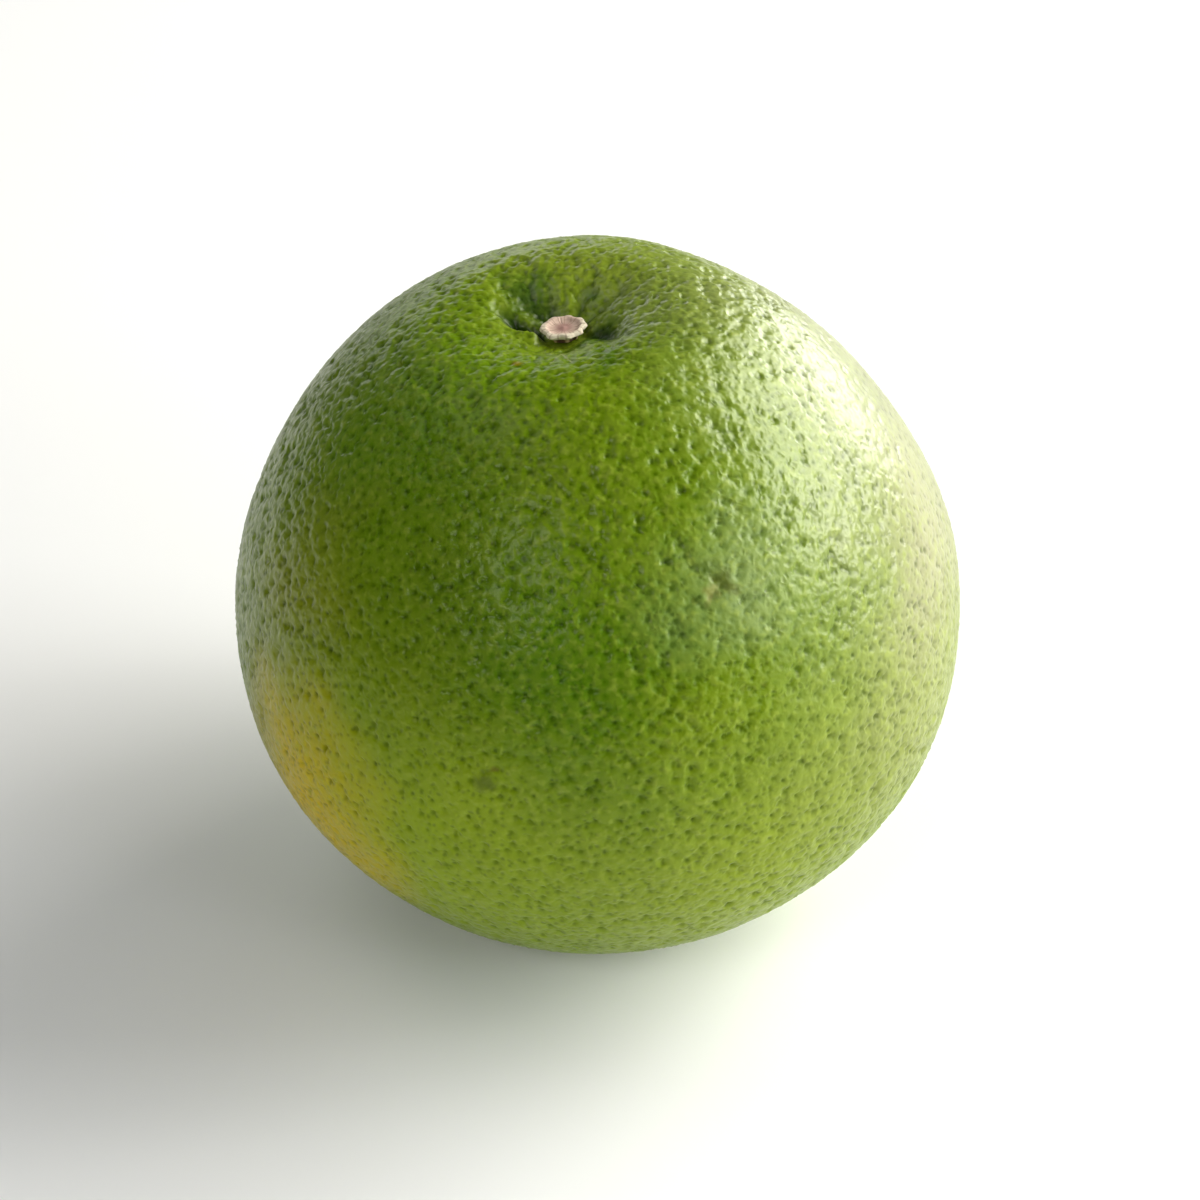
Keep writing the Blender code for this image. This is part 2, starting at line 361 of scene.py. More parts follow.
# %% Depth of the pits
LARGE_SHARE = 0.4
LARGE_PIT_DEPTH = 0.36 * MM
LARGE_PIT_REACH = 0.62 * MM
SMALL_PIT_DEPTH = 0.15 * MM
SMALL_PIT_REACH = 0.5 * MM
PIT_UNEVENNESS = 0.4
PIT_LEFT_IN_FOLDS = 0.25  # share of their depth in the seat and on the fruitlet
SMOOTH_FLANK = (5, 64)  # bearing and angle from the stem where the rind is smoother
SMOOTH_FULL, SMOOTH_END = math.radians(12), math.radians(38)
SMOOTH_PITS = 0.45  # share of the pits' depth there
PEAK_HEIGHT = 0.07 * MM
large = rng.random(gland_count) < LARGE_SHARE
size = np.where(large, LARGE_PIT_DEPTH, SMALL_PIT_DEPTH)
size *= rng.uniform(1 - PIT_UNEVENNESS, 1 + PIT_UNEVENNESS, gland_count)
pit_reach = np.where(large, LARGE_PIT_REACH, SMALL_PIT_REACH)
hollow = np.exp(-((distance / pit_reach[nearest]) ** 2))
plain = ramp(from_pole(d, 1)[0], SEAT_RADIUS, 1.6 * SEAT_RADIUS)
plain *= ramp(from_pole(d, -1)[0], 0.6 * FRUITLET_RADIUS, 1.3 * NAVEL_RADIUS)
fineness = gland_spacing(np.arccos(np.clip(d[:, 2], -1, 1))) / GLAND_SPACING
from_smooth = np.arccos(np.clip(d @ direction(*SMOOTH_FLANK), -1, 1))
rough = SMOOTH_PITS + (1 - SMOOTH_PITS) * ramp(from_smooth, SMOOTH_FULL, SMOOTH_END)
pitted = PIT_LEFT_IN_FOLDS + (1 - PIT_LEFT_IN_FOLDS) * plain
pit_depth = size[nearest] * hollow * fineness * rough * pitted
peak = PEAK_HEIGHT * rng.random(len(d)) * (1 - hollow) * plain
print("deepest pit in mm:", round(pit_depth.max() / MM, 3))

# %% [markdown]
# ## Out to the form, and down on the flat spot
#
# Every point moves out along its own direction to the form. An orange that is put down
# rests on its blossom end, where a small spot is pressed flat. Here the points below it are
# lifted to one level, which closes the flat without a cut, and the fruit then stands at the
# origin.

# %% Move the points out to the form and stand it on its flat spot
reach = body(d) + swell(d) - dish(d) - navel(d) - pit_depth + peak
points = (d * reach[:, None]) @ np.array(LEAN.to_3x3()).T
lowest = points[:, 2].min() + FOOT_DEPTH
points[:, 2] = np.maximum(points[:, 2], lowest)
across = (points.min(axis=0) + points.max(axis=0)) / 2
middle = Vector((-across[0], -across[1], -lowest))
for vertex, point in zip(rind_bm.verts, points):
    vertex.co = Vector(point) + middle
bmesh.ops.recalc_face_normals(rind_bm, faces=rind_bm.faces)
print("middle of the fruit in mm:", [round(v / MM, 2) for v in middle])


def new_piece(bm, name):
    """Turn a built shape into an object that is shaded smooth."""
    mesh = bpy.data.meshes.new(name)
    bm.to_mesh(mesh)
    bm.free()
    mesh.shade_smooth()
    piece = bpy.data.objects.new(name, mesh)
    bpy.context.scene.collection.objects.link(piece)
    return piece


rind = new_piece(rind_bm, "rind")
print("triangles of the rind:", len(rind.data.polygons))

# %% [markdown]
# ## Marks for the material
#
# The rind's colour is darker on the floors of its pits and in its folds. This is painted shade,
# and on the floors of the pits it is partly the colour of the clear oil under them. A texture
# could look for hollows again, but the depths are known here, so they are written on the points as
# attributes. The material then reads exactly the shapes that the mesh has.

# %% Attributes that the rind's material reads
def paint_attribute(piece, name, values):
    """Write one number for each point, which a material can read by its name."""
    attribute = piece.data.attributes.new(name, "FLOAT", "POINT")
    attribute.data.foreach_set("value", np.asarray(values, dtype=np.float32))


FULL_FOLD = 1.6 * MM  # a fold this deep gets the full painted shade
# how dark each pit's floor is painted: partly the oil's colour, partly painted shade
darkness = rng.uniform(0.6, 1.1, gland_count) * np.where(large, 1.0, 0.85)
paint_attribute(rind, "pit", darkness[nearest] * hollow * (0.3 + 0.7 * plain))
folded = (furrows(d) + 2 * puckers(d) + slit(d)[0]) / FULL_FOLD
paint_attribute(rind, "fold", np.clip(folded, 0, 1))
print("share of the points in a fold:", round(float(np.mean(folded > 0.1)), 3))

# %% [markdown]
# ## A test of the fit
#
# The rind stands in for the frame's solid, so it has to follow it closely. The distance from
# some of its points to the solid's faces says how closely. A small gap is right, because
# the solid has larger and fewer pits.

# %% Measure how closely the rind follows the frame's solid
TESTED_EVERY = 50
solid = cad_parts["fruit"]
solid_faces = BVHTree.FromPolygons(
    [v.co for v in solid.data.vertices], [p.vertices for p in solid.data.polygons]
)
tested = rind.data.vertices[:][::TESTED_EVERY]
gaps = [solid_faces.find_nearest(v.co)[3] for v in tested]
print("rind to solid in mm: mean", round(np.mean(gaps) / MM, 3), "most", round(max(gaps) / MM, 3))
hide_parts("fruit")
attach(rind, "root")

# %% [markdown]
# ## The stem button
#
# The button is what is left of the stalk and of the small green cup under it: a pale dry
# disc with an uneven, lobed rim, a darker wood face that has shrunk below the rim, and a
# neck with ribs that run down into the rind. It is turned from half its section with spin,
# as on a lathe, and then made uneven by moving its points.

# %% Sizes of the button
BUTTON_RADIUS = 2.6 * MM
BUTTON_NECK_RADIUS = 1.7 * MM
BUTTON_HEIGHT = 1.5 * MM
BUTTON_RIM_THICKNESS = 0.7 * MM
BUTTON_DISH = 0.3 * MM
BUTTON_GAP = 0.35 * MM
BUTTON_LOBES = 8
BUTTON_LOBE_DEPTH = 0.06
BUTTON_TILT_DEG = 5  # the cut face leans back a little further than the fruit
BUTTON_SIDES = 160
BUTTON_SECTION = (
    # distance from the axis and height, from the foot round the rim to the middle of the face
    (0.0, 0.0),
    (0.8 * BUTTON_NECK_RADIUS, 0.0),
    (BUTTON_NECK_RADIUS, 0.15 * BUTTON_HEIGHT),
    (BUTTON_NECK_RADIUS, BUTTON_HEIGHT - BUTTON_RIM_THICKNESS),
    (0.92 * BUTTON_RADIUS, BUTTON_HEIGHT - 0.8 * BUTTON_RIM_THICKNESS),
    (BUTTON_RADIUS, BUTTON_HEIGHT - 0.4 * BUTTON_RIM_THICKNESS),
    (0.95 * BUTTON_RADIUS, BUTTON_HEIGHT),
    (0.78 * BUTTON_RADIUS, BUTTON_HEIGHT + 0.2 * BUTTON_DISH),
    (0.62 * BUTTON_RADIUS, BUTTON_HEIGHT - 0.8 * BUTTON_DISH),
    (0.5 * BUTTON_RADIUS, BUTTON_HEIGHT - BUTTON_DISH),
    (0.2 * BUTTON_RADIUS, BUTTON_HEIGHT - BUTTON_DISH),
    (0.0, BUTTON_HEIGHT - 0.4 * BUTTON_DISH),
)

# %% [markdown]
# ## Turning the button
#
# The foot, the rim and the face are one section. It is rounded a little as its edges are
# subdivided, and then spun once round. A cylinder with insets would give the same rings, but
# a section shows the profile at a glance.

# %% Turn the button
button_bm = bmesh.new()
line = [button_bm.verts.new((r, 0, z)) for r, z in BUTTON_SECTION]
edges = [button_bm.edges.new(pair) for pair in zip(line, line[1:])]
bmesh.ops.subdivide_edges(button_bm, edges=edges, cuts=3, smooth=0.6)
bmesh.ops.spin(
    button_bm,
    geom=button_bm.verts[:] + button_bm.edges[:],
    cent=(0, 0, 0),
    axis=(0, 0, 1),
    angle=2 * math.pi,
    steps=BUTTON_SIDES,
    use_merge=True,
)
bmesh.ops.remove_doubles(button_bm, verts=button_bm.verts, dist=0.001 * MM)
bmesh.ops.recalc_face_normals(button_bm, faces=button_bm.faces)
print("button faces:", len(button_bm.faces))

# %% [markdown]
# ## Wear on the button
#
# A dry button is never quite round. Its rim is lobed where the cup's lobes were, ribs run
# down its neck, and the wood has cracked from the middle as it shrank. Each of them is a
# wave round the axis, which only the points near it follow.

# %% Make it uneven: lobes round the rim, ribs down the neck, radial cracks in the face
RIB_COUNT = 9
RIB_DEPTH = 0.16  # as a share of the neck's radius
NECK_TOP = 0.6  # heights as a share of the button's
FACE_BOTTOM = 0.7
CRACK_COUNT = 11
CRACK_DEPTH = 0.13 * MM
CRACK_MIDDLE, CRACK_REACH, CRACK_WIDTH = 0.62, 0.22, 0.16
for vertex in button_bm.verts:
    bearing = math.atan2(vertex.co.y, vertex.co.x)
    out = Vector(vertex.co.xy).length / BUTTON_RADIUS
    up = vertex.co.z / BUTTON_HEIGHT
    lobes = math.cos(BUTTON_LOBES * bearing + 2 * math.sin(bearing)) + 0.6 * math.sin(5 * bearing)
    grow = 1 + BUTTON_LOBE_DEPTH * lobes * out**3
    if up < NECK_TOP:
        grow += RIB_DEPTH * math.cos(RIB_COUNT * bearing + math.sin(2 * bearing)) * min(1, 2 * up)
    vertex.co.xy *= grow
    if up > FACE_BOTTOM:
        crack = abs(math.sin(0.5 * CRACK_COUNT * bearing + 0.8 * math.sin(2 * bearing)))
        crack = math.exp(-((crack / CRACK_WIDTH) ** 2))
        crack *= math.exp(-(((out - CRACK_MIDDLE) / CRACK_REACH) ** 2))
        wave = math.sin(3 * bearing + 0.5) * 0.07 * MM + math.sin(7 * bearing) * 0.03 * MM
        vertex.co.z += wave * out**2 - CRACK_DEPTH * crack
widest = max(Vector(vertex.co.xy).length for vertex in button_bm.verts)
print("widest radius of the button in mm:", round(widest / MM, 2))

# %% [markdown]
# ## The button in its seat
#
# The seat is where the form's own formula puts it, so the button's foot can be placed by
# asking for the form's height at the stem. The button leans with the fruit. Marks for its
# material are written before it is turned, while up still means up the button.

# %% Seat it in the dish
seat_reach = float((body(STEM) + swell(STEM) - dish(STEM) - navel(STEM))[0])
axis = LEAN.to_3x3() @ Vector((0, 0, 1))
foot = middle + (seat_reach + BUTTON_GAP) * axis
outward = [  # the rim's cream is narrower at the back
    Vector(v.co.xy).length / BUTTON_RADIUS - 0.25 * max(0, v.co.y / BUTTON_RADIUS)
    for v in button_bm.verts
]
upward = [v.co.z / BUTTON_HEIGHT for v in button_bm.verts]
turn = np.array([math.atan2(v.co.y, v.co.x) for v in button_bm.verts])
streaks = 0.5 + 0.3 * np.sin(17 * turn + 1) + 0.3 * np.sin(31 * turn + 2 * np.sin(3 * turn))
ribs = ramp(np.cos(RIB_COUNT * turn + np.sin(2 * turn)), 0.2, 0.9)
ribs *= 1 - ramp(np.array(upward), 0.4, 0.7)
tilt = Matrix.Rotation(math.radians(-BUTTON_TILT_DEG), 4, "X")
bmesh.ops.transform(
    button_bm, matrix=Matrix.Translation(foot) @ LEAN @ tilt, verts=button_bm.verts
)
button = new_piece(button_bm, "stem_end")
marks = {"outward": outward, "upward": upward, "streak": streaks, "rib": ribs}
for name, values in marks.items():
    paint_attribute(button, name, values)
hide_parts("stem_button")
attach(button, "root")
print("button foot in mm:", [round(v / MM, 2) for v in foot])

# %% [markdown]
# ## Tools for the materials
#
# Colours are written as sRGB hex, as a colour picker shows them, and turned to the linear
# values that the shader works in. One function adds a node, sets it up and links it, so
# that a material can be read from top to bottom. Its most common step, a colour laid over
# the last one as some value rises, has a function too.

# %% Colour and node helpers
def linear(hex_colour):
    """An sRGB hex colour as linear red, green, blue and alpha."""
    channels = [int(hex_colour[i : i + 2], 16) / 255 for i in (1, 3, 5)]
    toned = [c / 12.92 if c <= 0.04045 else ((c + 0.055) / 1.055) ** 2.4 for c in channels]
    return (*toned, 1.0)


def add_node(tree, kind, settings=None, links=None):
    """Add a node, set its properties or sockets by name or number, and link its inputs."""
    node = tree.nodes.new(kind)
    for key, value in (settings or {}).items():
        if isinstance(key, str) and hasattr(node, key):
            setattr(node, key, value)
        else:
            node.inputs[key].default_value = value
    for key, source in (links or {}).items():
        tree.links.new(source, node.inputs[key])
    return node


def start_material(name):
    """An empty material with a Principled shader joined to its output."""
    material = bpy.data.materials.new(name)
    material.use_nodes = True
    tree = material.node_tree
    tree.nodes.clear()
    shader = add_node(tree, "ShaderNodeBsdfPrincipled")
    add_node(tree, "ShaderNodeOutputMaterial", links={"Surface": shader.outputs["BSDF"]})
    return material, tree, shader


def fade(low, high, to_low=0.0, to_high=1.0):
    """What to set on a Map Range node that turns one range into another with smooth ends."""
    return {
        "interpolation_type": "SMOOTHSTEP",
        "From Min": low,
        "From Max": high,
        "To Min": to_low,
        "To Max": to_high,
    }


COLOUR_FACTOR, COLOUR_A, COLOUR_B, COLOUR_RESULT = 0, 6, 7, 2  # sockets of a Mix node set to RGBA


def lay(tree, under, colour, value, low, high, strength=1.0, blend="MIX"):
    """Lay a colour over another, which is a link or a hex, as a value goes from low to high."""
    mask = add_node(
        tree, "ShaderNodeMapRange", fade(low, high, 0.0, strength), {"Value": value}
    ).outputs["Result"]
    settings = {"data_type": "RGBA", "blend_type": blend, COLOUR_B: linear(colour)}
    links = {COLOUR_FACTOR: mask}
    if isinstance(under, str):
        settings[COLOUR_A] = linear(under)
    else:
        links[COLOUR_A] = under
    return add_node(tree, "ShaderNodeMix", settings, links).outputs[COLOUR_RESULT]


print("linear value of middle grey:", round(linear("#808080")[0], 3))

# %% [markdown]
# ## The rind's finish
#
# The coloured outer layer of citrus peel is smooth and waxy, with an index of refraction
# near 1.5. Its green comes from chlorophyll, which is unevenly spread: deep where the
# fruit was shaded and around the stem, lighter towards the blossom end, and broken by a
# yellow flush on one flank. It could be painted by hand on an image, but noise in real
# sizes has no seam and stays sharp from near by. All of it reads the fruit's own
# coordinates, with the stem up and the middle of the fruit at zero.

# %% Start of the rind's material
rind_material, tree, skin = start_material("green_citrus_peel")
NOISES = (
    # name, size of its features in mm, detail and roughness
    ("mottle", 6, 5.0, 0.65),
    ("pebbles", 0.95, 1.0, 0.5),
    ("grain", 0.4, 2.0, 0.5),
)
object_frame = add_node(tree, "ShaderNodeTexCoord").outputs["Object"]
fruit_frame = add_node(
    tree,
    "ShaderNodeMapping",
    {
        "Location": LEAN.inverted().to_3x3() @ -middle,
        "Rotation": (0, math.radians(LEAN_DEG), 0),
    },
    {"Vector": object_frame},
).outputs["Vector"]
noise = {}
for name, size_mm, detail, roughness in NOISES:
    noise[name] = add_node(
        tree,
        "ShaderNodeTexNoise",
        {"Scale": 1 / (size_mm * MM), "Detail": detail, "Roughness": roughness},
        {"Vector": fruit_frame},
    ).outputs["Fac"]
print("noises:", ", ".join(noise))

# %% [markdown]
# ## Soft edges for the patches
#
# No patch of colour on a fruit has a clean edge. The positions that a pattern reads are
# pushed about by noise first, so that a round patch gets a ragged outline. A patch is then
# a direction from the middle of the fruit and an angle round it. Painting on a UV map could
# do the same, but a direction needs no map and has no seam.

# %% Positions pushed about, and angles between directions
def pushed(tree, size_mm, reach_mm):
    """Positions moved by up to that reach, by noise whose features have that size."""
    push = add_node(
        tree,
        "ShaderNodeTexNoise",
        {"Scale": 1 / (size_mm * MM), "Detail": 2.0, "Roughness": 0.5},
        {"Vector": fruit_frame},
    ).outputs["Color"]
    reach = reach_mm * MM
    push = add_node(
        tree,
        "ShaderNodeVectorMath",
        {"operation": "MULTIPLY_ADD", 1: (2 * reach,) * 3, 2: (-reach,) * 3},
        {0: push},
    ).outputs["Vector"]
    return add_node(
        tree, "ShaderNodeVectorMath", {"operation": "ADD"}, {0: fruit_frame, 1: push}
    ).outputs["Vector"]


def angle_from(tree, bearing_deg, polar_deg, ways):
    """The angle in radians between one direction and the ways out from the middle."""
    dot = add_node(
        tree,
        "ShaderNodeVectorMath",
        {"operation": "DOT_PRODUCT", 1: direction(bearing_deg, polar_deg)},
        {0: ways},
    ).outputs["Value"]
    return add_node(tree, "ShaderNodeMath", {"operation": "ARCCOSINE"}, {0: dot}).outputs["Value"]


positions = {
    "straight": fruit_frame,
    "bent": pushed(tree, 16, 9),
    "wobbly": pushed(tree, 1.5, 1.2),
}
ways_out = {}
for name, position in positions.items():
    ways_out[name] = add_node(
        tree, "ShaderNodeVectorMath", {"operation": "NORMALIZE"}, {0: position}
    ).outputs["Vector"]
print("ways out:", ", ".join(ways_out))

# %% [markdown]
# ## The greens
#
# Two greens are mottled by noise, and broad patches lie over them: deep in the middle of the
# front, paler towards the blossom end, olive and then yellow low on the left. Pale, greyer patches
# on the right flank are painted highlight where the window's light falls. A pale patch round a
# scar is a painted reflection of a lamp. Small dark spots in the furrows are painted shade. A
# table of patches is easy to read and to change.

# %% Greens
GREEN = "#678202"
DEEP_GREEN = "#536d00"
MOTTLE_STRENGTH = 0.4
PATCHES = (
    # bearing and angle from the stem, then where it is full and where it ends, all in
    # degrees, its strength and its colour
    (-85, 180, 20, 100, 0.8, "#799000"),  # lighter towards the navel
    (20, 70, 10, 75, 0.8, "#868658"),  # painted highlight: paler where the window lights the right flank
    (-66, 108, 0, 42, 0.8, "#889a22"),  # fresh green low on the front
    (-122, 98, 0, 44, 0.8, "#93aa04"),
    (-140, 36, 0, 34, 0.8, "#5b8300"),  # a cooler green beside the dish
    (-92, 64, 0, 32, 0.8, "#4a7400"),  # deepest in the middle of the front
    (80, 14, 0, 30, 0.6, "#7e8f19"),  # yellower behind the dish
    (-150, 62, 0, 24, 0.8, "#7d8500"),  # olive, then yellow, low on the left
    (-145, 100, 0, 30, 0.9, "#dabc1c"),
    (-30, 96, 0, 40, 0.8, "#8c9352"),  # painted highlight: paler and greyer round the right flank
    (10, 68, 0, 42, 0.8, "#7a7e4e"),
    (-16, 74, 0, 26, 0.8, "#96946e"),
    (-62, 58, 2, 16, 0.5, "#889a62"),  # painted reflection of a lamp: a pale sheen round a scar
    (-72, 34, 0, 22, 0.45, "#567200"),
    (124, 14, 0, 7, 0.75, "#365c06"),  # painted shade: dark spots in the furrows of the dish
    (-33, 8, 0, 5, 0.75, "#365c06"),
    (-66, 14.5, 0, 4, 0.6, "#365c06"),
    (57, 6, 0, 3, 0.75, "#365c06"),
)
green = lay(tree, GREEN, DEEP_GREEN, noise["mottle"], 0.35, 0.65, MOTTLE_STRENGTH)
for bearing_deg, polar_deg, inner_deg, outer_deg, strength, colour in PATCHES:
    angle = angle_from(tree, bearing_deg, polar_deg, ways_out["bent"])
    outer, inner = math.radians(outer_deg), math.radians(inner_deg)
    green = lay(tree, green, colour, angle, outer, inner, strength)
print("patches:", len(PATCHES))

# %% [markdown]
# ## Pits and ridges
#
# The fine relief is painted into the colour as well as shaped. The ridges between the pits and the
# tops of the pebbles are painted highlight, paler and yellower. The middles of the cells and the
# folds are painted shade. The floors of the pits are darker partly because the oil under them is
# clear and partly as painted shade. Cells and pebbles about a millimetre across break up the
# ridges. A colour that multiplies keeps the patches under it, where one that is mixed in would
# hide them.

# %% Pits and ridges
CELL_MM = 1.0
cells = add_node(
    tree,
    "ShaderNodeTexVoronoi",
    {"Scale": 1 / (CELL_MM * MM), "Randomness": 0.95},
    {"Vector": pushed(tree, 2.2, 0.5)},
).outputs["Distance"]
pit, fold = (
    add_node(tree, "ShaderNodeAttribute", {"attribute_name": name}).outputs["Fac"]
    for name in ("pit", "fold")
)
LAYERS = (
    # what it reads, where it begins and where it is full, its strength, colour and blend
    (cells, 0.4, 0.05, 0.5, "#7d8c3c", "MULTIPLY"),  # painted shade in the middles of the cells
    (pit, 0.35, 0.9, 0.5, "#6f8a20", "MULTIPLY"),  # the floors of the pits: partly the oil's colour, partly painted shade
    (pit, 0.4, 0.05, 0.15, "#98a838", "MIX"),  # painted highlight on the ridges between the pits
    # painted highlight on the tops of the pebbles
    (noise["pebbles"], 0.5, 0.75, 0.3, "#a0b040", "MIX"),
    # painted shade in the folds
    (fold, 0.15, 0.8, 0.9, "#3c6a20", "MULTIPLY"),
)
for value, begins, full, strength, colour, blend in LAYERS:
    green = lay(tree, green, colour, value, begins, full, strength, blend)
print("layers of the pits and ridges:", len(LAYERS))

# %% [markdown]
# ## Scars
#
# Branches and leaves rub a young fruit, and the marks grow with it into small corky scars.
# Each is a patch like those of the greens, but read from positions that are pushed about
# more finely, so that its edge is ragged at its own size.

# %% Scars
SCARS = (
    # bearing and angle from the stem in degrees, radius in mm, colour and strength
    (-65.6, 57.6, 0.9, "#8f8648", 0.5),
    (-63.0, 56.0, 1.2, "#566018", 0.7),
    (-61.2, 57.8, 0.8, "#565a1c", 0.6),
    (-64.5, 53.8, 0.9, "#4e641c", 0.6),
    (-106.4, 83, 1.3, "#4c5c10", 0.7),
    (-105, 80.6, 0.5, "#6a5c28", 0.6),
    (-120.8, 14.3, 0.6, "#97701c", 0.5),
    (84, 70, 1.6, "#8a7a48", 0.55),
    (87, 72, 0.6, "#5e4c28", 0.7),
    (150, 95, 1.0, "#9a8a4e", 0.6),
    (30, 118, 1.3, "#86763e", 0.6),
    (-35, 128, 0.9, "#6e5c30", 0.6),
    (120, 128, 1.8, "#a39a5a", 0.4),
)
SCAR_FULL, SCAR_END = 0.4, 1.5  # times its radius
for bearing_deg, polar_deg, radius_mm, colour, strength in SCARS:
    radius = radius_mm * MM / FRUIT_RADIUS
    angle = angle_from(tree, bearing_deg, polar_deg, ways_out["wobbly"])
    green = lay(tree, green, colour, angle, SCAR_END * radius, SCAR_FULL * radius, strength)
print("scars:", len(SCARS))

# %% [markdown]
# ## Fine cracks
#
# In front of the button two pale cracks cross. Each is the line where a plane through the
# middle of the fruit cuts the rind, faded out beyond its ends. It is far thinner than the
# mesh's triangles, so it is colour alone.

# %% Two fine cracks that cross in front of the button
CRACKS = (
    # bearing and angle from the stem at each end, in degrees
    ((-98.8, 13.6), (-88.0, 8.2)),
    ((-93.0, 8.6), (-82.7, 13.6)),
)
CRACK_COLOUR = "#b4b878"
CRACK_STRENGTH = 0.4
CRACK_HALF_WIDTH = math.radians(0.256)  # a fifth of a millimetre
for one_end, other_end in CRACKS:
    start, stop = Vector(direction(*one_end)), Vector(direction(*other_end))
    centre = (start + stop).normalized()
    half = start.angle(stop) / 2
    from_centre = angle_from(
        tree,
        math.degrees(math.atan2(centre.y, centre.x)),
        math.degrees(math.acos(centre.z)),
        ways_out["wobbly"],
    )
    off_line = add_node(
        tree,
        "ShaderNodeVectorMath",
        {"operation": "DOT_PRODUCT", 1: start.cross(stop).normalized()},
        {0: ways_out["straight"]},
    ).outputs["Value"]
    off_line = add_node(
        tree, "ShaderNodeMath", {"operation": "ABSOLUTE"}, {0: off_line}
    ).outputs["Value"]
    across = fade(CRACK_HALF_WIDTH, 0.0)
    along = fade(1.2 * half, 0.7 * half, 0.0, CRACK_STRENGTH)
    across = add_node(tree, "ShaderNodeMapRange", across, {"Value": off_line})
    along = add_node(tree, "ShaderNodeMapRange", along, {"Value": from_centre})
    mask = add_node(
        tree,
        "ShaderNodeMath",
        {"operation": "MULTIPLY"},
        {0: across.outputs["Result"], 1: along.outputs["Result"]},
    ).outputs["Value"]
    green = add_node(
        tree,
        "ShaderNodeMix",
        {"data_type": "RGBA", COLOUR_B: linear(CRACK_COLOUR)},
        {COLOUR_FACTOR: mask, COLOUR_A: green},
    ).outputs[COLOUR_RESULT]
tree.links.new(green, skin.inputs["Base Color"])
print("nodes that make the rind's colour:", len(tree.nodes))

# %% [markdown]
# ## Gloss
#
# Wax gives the peel a soft gloss. It is stronger where the bloom has been rubbed off, on the
# right and left flanks, and weaker in the pits, in the folds and in front of the button. The
# shader's level of reflection carries that, while its roughness stays the same all over.

# %% Gloss
PEEL_ROUGHNESS = 0.32
PEEL_IOR = 1.5
BUTTON_FRONT = (-75, 12)  # bearing and angle from the stem, where the peel is duller
RUBBED = (
    # bearing and angle from the stem, where it is full and where it ends, all in degrees,
    # and the gloss where it ends and where it is full
    (178, 72, 20, 50, 0.0, 0.5),
    (35, 60, 20, 90, 0.21, 1.05),
)
skin.inputs["Roughness"].default_value = PEEL_ROUGHNESS
skin.inputs["IOR"].default_value = PEEL_IOR
skin.inputs["Specular Tint"].default_value = linear("#fdffea")
glosses = []
for bearing_deg, polar_deg, inner_deg, outer_deg, least, most in RUBBED:
    settings = fade(math.radians(outer_deg), math.radians(inner_deg), least, most)
    angle = angle_from(tree, bearing_deg, polar_deg, ways_out["bent"])
    glosses.append(add_node(tree, "ShaderNodeMapRange", settings, {"Value": angle}))
gloss = add_node(
    tree,
    "ShaderNodeMath",
    {"operation": "ADD"},
    {0: glosses[0].outputs["Result"], 1: glosses[1].outputs["Result"]},
).outputs["Value"]
deep = add_node(
    tree, "ShaderNodeMath", {"operation": "MAXIMUM"}, {0: pit, 1: fold}
).outputs["Value"]
near_button = add_node(
    tree,
    "ShaderNodeMapRange",
    fade(math.radians(20), math.radians(5)),
    {"Value": angle_from(tree, *BUTTON_FRONT, ways_out["bent"])},
).outputs["Result"]
DULLED = (
    # what it reads, where it begins, and the share of the gloss that is left at its full
    (deep, 0.4, 0.35),
    (near_button, 0.0, 0.4),
)
for value, begins, left in DULLED:
    kept = add_node(
        tree, "ShaderNodeMapRange", fade(begins, 1.0, 1.0, left), {"Value": value}
    ).outputs["Result"]
    gloss = add_node(
        tree, "ShaderNodeMath", {"operation": "MULTIPLY"}, {0: gloss, 1: kept}
    ).outputs["Value"]
tree.links.new(gloss, skin.inputs["Specular IOR Level"])
print("roughness of the peel:", PEEL_ROUGHNESS)

# %% [markdown]
# ## Fine relief
#
# Between the pits the peel is pebbled, which is too fine for the mesh. A bump tilts the
# shading as a height of a fifth of a millimetre would, from the cells, the pebbles and a
# little grain. It is weaker on the smooth flank, where the window's reflection is broad.

# %% Fine relief
RELIEF_HEIGHT = 0.2 * MM
RELIEF_LEFT = 0.4  # its strength on the smooth flank
height = add_node(
    tree, "ShaderNodeMapRange", fade(0.05, 0.6, 0.0, 0.3), {"Value": cells}
).outputs["Result"]
for layer, share in (("pebbles", 0.7), ("grain", 0.04)):
    height = add_node(
        tree,
        "ShaderNodeMath",
        {"operation": "MULTIPLY_ADD", 1: share},
        {0: noise[layer], 2: height},
    ).outputs["Value"]
relief = add_node(
    tree,
    "ShaderNodeMapRange",
    fade(SMOOTH_END, SMOOTH_FULL, 1.0, RELIEF_LEFT),
    {"Value": angle_from(tree, *SMOOTH_FLANK, ways_out["bent"])},
).outputs["Result"]
bump = add_node(
    tree,
    "ShaderNodeBump",
    {"Distance": RELIEF_HEIGHT},
    {"Height": height, "Strength": relief},
)
tree.links.new(bump.outputs["Normal"], skin.inputs["Normal"])
rind.data.materials.append(rind_material)
print("nodes in", rind_material.name, len(tree.nodes))

# %% [markdown]
# ## The button's finish
#
# Dry stalk wood is matt and pale, pinkish on the cut face and cream on the rim, with darker
# streaks out from the middle. The neck under the rim is dark brown. That is partly the stalk's own
# brown and partly painted shade under the rim, while the crests of its ribs stay pale. The marks
# on the points say where each of these begins, so the colours follow the shape however it is
# turned.

